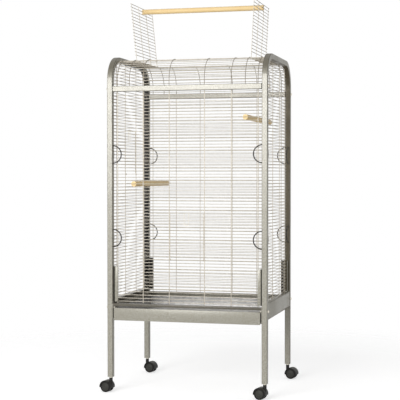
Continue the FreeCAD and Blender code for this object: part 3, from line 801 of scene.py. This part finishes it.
# Roof: a flat strip beside each flap, and the mesh bent down to the cross tubes
def roofStrip(side):
    shape = newShape()
    settings = meshSettings
    height = settings["roofHeight"]
    end = settings["roofOpening"] - half
    hinge = settings["hingeWire"] * side
    addWire(shape, [(hinge, -end, height), (hinge, end, height)], half, 14)
    upright = settings["frontUprights"][-1] * side
    upper = height + settings["layer"]
    addWire(shape, [(upright, -end, upper), (upright, end, upper)], half)
    for number in range(-settings["stripRows"], settings["stripRows"] + 1):
        place = settings["stripPitch"] * number
        addWire(shape, [(hinge + side, place, height), (settings["frontEnd"] * side, place, height)], half)
        addWeld(shape, (upright, place, height + settings["layer"] / 2), settings["weld"])
    return shape


def bendPoint(path, radius, side):
    settings = meshSettings
    flat = settings["bendPlace"] - settings["roofOpening"]
    quarter = settings["roofRadius"] * math.pi / 2
    if path <= flat:
        return (side * (settings["roofOpening"] + path), settings["bendHeight"] + radius)
    if path >= flat + quarter:
        return (side * (settings["bendPlace"] + radius), settings["bendHeight"] - (path - flat - quarter))
    angle = (path - flat) / settings["roofRadius"]
    return (side * (settings["bendPlace"] + radius * math.sin(angle)),
            settings["bendHeight"] + radius * math.cos(angle))


# The rows and the curved uprights are two shapes, because the curved uprights take a darker wire as painted
# shade
def roofBend(side):
    shape = newShape()
    curved = newShape()
    settings = meshSettings
    uprights = mirrorList(settings["frontUprights"] + (settings["hingeWire"],))
    outer = settings["roofRadius"] + settings["layer"]
    length = settings["bendPlace"] - settings["roofOpening"] + settings["roofRadius"] * math.pi / 2
    length += settings["bendHeight"] - settings["crossTubeTop"]
    for number in range(settings["bendRows"]):
        path = settings["pitch"] * number
        y, z = bendPoint(path, settings["roofRadius"], side)
        addWire(shape, [(-settings["frontEnd"], y, z), (settings["frontEnd"], y, z)], half)
        weldY, weldZ = bendPoint(path, settings["roofRadius"] + settings["layer"] / 2, side)
        for upright in uprights:
            addWeld(shape, (upright, weldY, weldZ), settings["weld"])
    steps = 44
    for upright in uprights:
        path = []
        for step in range(steps + 1):
            y, z = bendPoint(half + (length - half) * step / steps, outer, side)
            path.append((upright, y, z))
        addWire(curved, path, half)
    return shape, curved


for side, name, node in ((-1, "roofStripLeft", "roof_left_mesh"), (1, "roofStripRight", "roof_right_mesh")):
    makePiece(name, roofStrip(side), meshWire, "frame", [node])
for side, name, node in ((-1, "roofBendFront", "roof_front_bend"), (1, "roofBendRear", "roof_rear_bend")):
    shape, curved = roofBend(side)
    makePiece(name, shape, meshWire, "frame", [node])
    makePiece(name + "Uprights", curved, bendWireShaded, "frame", [node])
print("roof made")


# Hinged meshes, built round their hinge: hinge along X, standing up, outside towards -Y.
# leans are the degrees by which the flaps lean outwards at rest
hingedSettings = {
    "wire": 1.3,
    "layer": 2,
    "leans": {"left": 5.6, "right": 3},
    "loopRadius": 2.8,
    "loopTurn": 335,
    "headDrop": 0.6,
    "door": {"offset": 6.0, "uprights": (-77.07, 77.07), "reach": 81.07,
             "rows": [14.7 * number for number in range(1, 15)]},
    "flap": {"offset": 3.4, "uprights": (-160, -55, 55, 160), "reach": 168,
             "rows": [28.8 + 14.7 * number for number in range(16)] + [263.6]},
}


# Upright whose lower end curls round the hinge wire
def curledUpright(place, offset, head, loopRadius, loopTurn):
    path = [(place, -offset, head), (place, -offset, head * 0.5), (place, -offset, 12)]
    path += [(place, -offset * 0.85 - loopRadius * 0.15, 9), (place, -offset * 0.4 - loopRadius * 0.6, 5)]
    steps = 22
    for step in range(steps + 1):
        angle = math.radians(loopTurn) * step / steps
        path.append((place, -loopRadius * math.cos(angle), -loopRadius * math.sin(angle)))
    return path


def hingedMesh(settings):
    shape = newShape()
    wire = hingedSettings["wire"]
    plane = -settings["offset"]
    uprightPlane = settings["offset"] - hingedSettings["layer"]
    head = settings["rows"][-1] + half - hingedSettings["headDrop"]
    for row in settings["rows"]:
        addWire(shape, [(-settings["reach"], plane, row), (settings["reach"], plane, row)], half)
        for place in settings["uprights"]:
            addWeld(shape, (place, plane + hingedSettings["layer"] / 2, row), meshSettings["weld"])
    for place in settings["uprights"]:
        addWire(shape, curledUpright(place, uprightPlane, head, hingedSettings["loopRadius"],
                                     hingedSettings["loopTurn"]), wire)
    return shape


def makeHinged():
    hinge = meshSettings["hingeWire"]
    height = meshSettings["roofHeight"]
    leans = hingedSettings["leans"]
    leftLean = Matrix.Rotation(math.radians(leans["left"]), 4, "X")
    rightLean = Matrix.Rotation(math.radians(leans["right"]), 4, "X")
    flapLeft = turnAndMove(-90, (-hinge, 0, height)) @ leftLean
    flapRight = turnAndMove(90, (hinge, 0, height)) @ rightLean
    doorFront = turnAndMove(0, (0, -meshSettings["frontPlane"], frontDoorway[0]))
    doorLeft = turnAndMove(-90, (-meshSettings["sidePlane"], 0, leftDoorway[0]))
    for name, kind, place, node, body in (
            ("frontDoorMesh", "door", doorFront, "front_door", "front_door"),
            ("leftDoorMesh", "door", doorLeft, "left_door", "left_door"),
            ("leftFlapMesh", "flap", flapLeft, "left_roof_flap", "left_flap"),
            ("rightFlapMesh", "flap", flapRight, "right_roof_flap", "right_flap")):
        makePiece(name, hingedMesh(hingedSettings[kind]), meshWire, body, [node], place=place)


makeHinged()
print("doors and flaps made")


# Clip of one bent wire that hangs from the door's top row by two eyes
clipSettings = {"wire": 1.0, "eye": 2.95, "eyeTurn": 330, "halfWidth": 10.5, "length": 51, "corner": 4}


def clipShape():
    settings = clipSettings
    eye = settings["eye"]
    wide = settings["halfWidth"]
    foot = -settings["length"]
    corner = settings["corner"]
    path = []
    steps = 20
    for step in range(steps + 1):
        angle = math.radians(-settings["eyeTurn"] + settings["eyeTurn"] * step / steps)
        path.append((-wide, -eye * math.cos(angle), eye * math.sin(-angle)))
    cornerSteps = 6
    for step in range(cornerSteps + 1):
        angle = math.pi / 2 * step / cornerSteps
        aside = -wide + corner - corner * math.cos(angle)
        path.append((aside, -eye, foot + corner - corner * math.sin(angle)))
    mirrored = [(-x, y, z) for x, y, z in reversed(path)]
    shape = newShape()
    addWire(shape, path + mirrored, settings["wire"])
    return shape


def makeClips():
    door = hingedSettings["door"]
    frontPlace = (0, -meshSettings["frontPlane"] - door["offset"], frontDoorway[0] + door["rows"][-1])
    leftPlace = (-meshSettings["sidePlane"] - door["offset"], 0, leftDoorway[0] + door["rows"][-1])
    for name, node, body, place in (
            ("frontClipWire", "front_door_clip", "front_clip", turnAndMove(0, frontPlace)),
            ("leftClipWire", "left_door_clip", "left_clip", turnAndMove(-90, leftPlace))):
        makePiece(name, clipShape(), clipZinc, body, [node], place=place)


makeClips()


# Bolts with a domed head, a socket in it and a rolled thread at the tip
boltSettings = {
    "head": [(2.2, 3.0), (2.3, 5.0), (2.7, 5.4), (3.6, 5.45), (4.7, 4.9), (5.6, 3.7), (5.95, 2.2),
             (6.0, 0.6), (5.9, 0.0)],
    "shank": 2.95,
    "threadLength": 14,
    "threadRoot": 2.5,
    "tip": 2.2,
    "threadPitch": 1.25,
    "face": 367.5,
    "baseTip": 334.5,
    "topTip": 317.5,
    "heights": {"base": 386, "top": 1369},
}


def makeBolts():
    shape = newShape()
    settings = boltSettings
    shank = settings["shank"]
    thread = settings["threadLength"]
    pitch = settings["threadPitch"]
    for side in (-1, 1):
        for y in (-275, 275):
            for level in ("base", "top"):
                length = settings["face"] - settings[level + "Tip"]
                profile = settings["head"] + [(shank, -0.05), (shank, -length + thread)]
                for turn in range(int(thread / pitch)):
                    start = -length + thread - turn * pitch
                    profile += [(settings["threadRoot"], start - 0.3), (shank, start - 0.75)]
                profile.append((settings["tip"], -length))
                place = (side * settings["face"], y, settings["heights"][level])
                addTurned(shape, profile, place, (side, 0, 0), 24)
    makePiece("frameBolts", shape, boltZinc, "frame", ["frame_bolts"], 32)


makeBolts()
softCopy("frameNuts", "frame_nuts", boltZinc, "frame", 0.5)
print("bolts made")


# Folded sheet and the perches keep their CAD shape, with softer edges
for name, node, radius in (("leftSkirt", "left_skirt", 0.9), ("rightSkirt", "right_skirt", 0.9),
                           ("rearSkirt", "rear_skirt", 0.9), ("frontRail", "front_rail", 0.9),
                           ("leftRunner", "left_runner", 0.9), ("rightRunner", "right_runner", 0.9),
                           ("cornerStraps", "corner_straps", 0.7)):
    softCopy(name, node, shadedRailPaint if node == "front_rail" else paint, "frame", radius)
# Black pads fill the gap beside each strap, as painted shade for that recess
softCopy("strapPadsGapShade", "strap_pads", plugPlastic, "frame", 0.4)
softCopy("trayFront", "tray_front", paint, "tray", 0.9)
softCopy("trayPan", "tray_pan", traySheet, "tray", 0.5)
softCopy("playPerch", "play_perch", crossWood, "play_perch", 0.8)
softCopy("leftPerch", "left_perch", innerPerchLitWood, "left_perch", 0.8)
softCopy("rightPerch", "right_perch", innerPerchLitWood, "right_perch", 0.8)
print("sheet and perches made")


# Twin wheels: a tread with a domed disc let into its outer face. trail is how far the axle
# lies behind the swivel, inside how far each wheel starts from the middle
wheelSettings = {
    "trail": 20,
    "radius": 25,
    "inside": 6,
    "turn": {"front": 170, "rear": -10},
    "tread": [(3.2, 0.0), (7.0, 0.0), (8.3, 1.2), (20.5, 1.2), (21.8, 0.0), (23.5, 0.15), (24.5, 0.9),
              (25.0, 2.4), (25.0, 11.4), (24.6, 12.8), (23.7, 13.7), (22.4, 14.0), (18.8, 13.9),
              (18.2, 13.2), (18.2, 11.0), (3.2, 11.0)],
    "disc": [(18.0, 10.8), (18.0, 12.3), (17.5, 12.8), (16.8, 12.9), (16.2, 12.6), (15.6, 12.6),
             (15.0, 12.9), (11.0, 13.2), (7.4, 13.6), (6.6, 13.9), (5.8, 13.6), (5.2, 13.0), (3.4, 12.9),
             (0.0, 12.9)],
}


def makeWheels():
    settings = wheelSettings
    for corner, (x, y) in corners.items():
        turn = math.radians(settings["turn"][corner.split("_")[0]])
        ahead = Vector((math.cos(turn), math.sin(turn), 0))
        across = Vector((-math.sin(turn), math.cos(turn), 0))
        middle = Vector((x, y, settings["radius"])) + ahead * settings["trail"]
        for letter, side in (("a", 1), ("b", -1)):
            base = middle + across * side * settings["inside"]
            node = corner + "_caster_wheel_" + letter
            body = corner + "_wheel_" + letter
            for kind, profile, finish, steps in (
                    ("Tread", settings["tread"], treadPlastic, 64),
                    ("Disc", settings["disc"], discPlastic, 56)):
                turned = newShape()
                addTurned(turned, profile, base, across * side, steps)
                makePiece(corner + kind + letter.upper(), turned, finish, body, [node], 28)
        caster = corner + "_caster"
        softCopy(corner + "Hood", caster + "_hood", casterPlastic, caster, 0.7)


makeWheels()
print("casters made")


# CAD nodes that stay take their finish here
def paintNode(node, material):
    data = nodes[node].data
    data.materials.clear()
    data.materials.append(material)
    for face in data.polygons:
        face.material_index = 0


paintNode("left_arch", bentPaint)
paintNode("right_arch", rightArchPaint)
for node in ("front_cross_tube", "rear_cross_tube", "front_left_leg", "front_right_leg", "rear_left_leg",
             "rear_right_leg"):
    paintNode(node, paint)
for node in ("cross_tube_plugs", "leg_plugs", "caster_sockets"):
    paintNode(node, plugPlastic)
for node in ("hoops_rear_right", "hoops_rear_left", "hoops_front_right", "hoops_front_left"):
    paintNode(node, hoopWire)
for corner in corners:
    paintNode(corner + "_caster_pins", boltZinc)


# Floor, backdrop and lights. A lamp has its place, size and power
stageSettings = {
    "floor": 0.8,
    "reach": 14,
    "aim": (0, 0, 0.9),
    "lift": 0.56,
    "fadeFrom": 1.1,
    "fadeTo": 2.2,
    "world": 0.37,
    "lamps": {
        "key": ((-1.2, -4.7, 2.0), 2.6, 146),
        "fill": ((1.8, -5.0, 2.2), 1.6, 15),
    },
}


# The rays that show the backdrop itself, against those that carry its light
def backdropRays(tree, seen):
    mirrored = mathNode(tree, "MAXIMUM", seen.outputs["Is Glossy Ray"], seen.outputs["Is Transmission Ray"])
    return mathNode(tree, "MAXIMUM", seen.outputs["Is Camera Ray"], mirrored)


def makeStage(settings):
    mesh = bpy.data.meshes.new("studioFloor")
    reach = settings["reach"]
    mesh.from_pydata([(-reach, -reach, 0), (reach, -reach, 0), (reach, reach, 0), (-reach, reach, 0)], [],
                     [(0, 1, 2, 3)])
    floor = bpy.data.objects.new("studioFloor", mesh)
    bpy.context.scene.collection.objects.link(floor)
    material, tree, shader = newMaterial("paleFloor")
    shader.inputs["Base Color"].default_value = (settings["floor"],) * 3 + (1,)
    shader.inputs["Roughness"].default_value = 0.9
    shader.inputs["Emission Color"].default_value = (1, 1, 1, 1)
    seen = addNode(tree, "LightPath")
    direct = backdropRays(tree, seen)
    join(tree, mathNode(tree, "MULTIPLY", direct, settings["lift"]), shader.inputs["Emission Strength"])
    distance = addNode(tree, "VectorMath", operation="LENGTH")
    join(tree, addNode(tree, "TexCoord").outputs["Object"], distance.inputs[0])
    opaque = rangeNode(tree, distance.outputs["Value"], settings["fadeFrom"], settings["fadeTo"], 1, 0)
    join(tree, opaque, shader.inputs["Alpha"])
    mesh.materials.append(material)
    world = bpy.data.worlds.new("studioWorld")
    bpy.context.scene.world = world
    world.use_nodes = True
    tree = world.node_tree
    background = tree.nodes["Background"]
    background.inputs["Color"].default_value = (1, 1, 1, 1)
    seen = addNode(tree, "LightPath")
    direct = backdropRays(tree, seen)
    strength = addNode(tree, "MapRange")
    strength.inputs["To Min"].default_value = settings["world"]
    strength.inputs["To Max"].default_value = 1
    join(tree, direct, strength.inputs["Value"])
    join(tree, strength.outputs[0], background.inputs["Strength"])
    for name, (place, size, power) in settings["lamps"].items():
        data = bpy.data.lights.new(name, "AREA")
        data.shape = "DISK"
        data.size = size
        data.energy = power
        lamp = bpy.data.objects.new(name, data)
        lamp.location = place
        lamp.rotation_mode = "QUATERNION"
        toAim = Vector(settings["aim"]) - Vector(place)
        lamp.rotation_quaternion = toAim.to_track_quat("-Z", "Y")
        bpy.context.scene.collection.objects.link(lamp)


makeStage(stageSettings)
bpy.context.scene.view_settings.view_transform = "Standard"
print("stage lit")
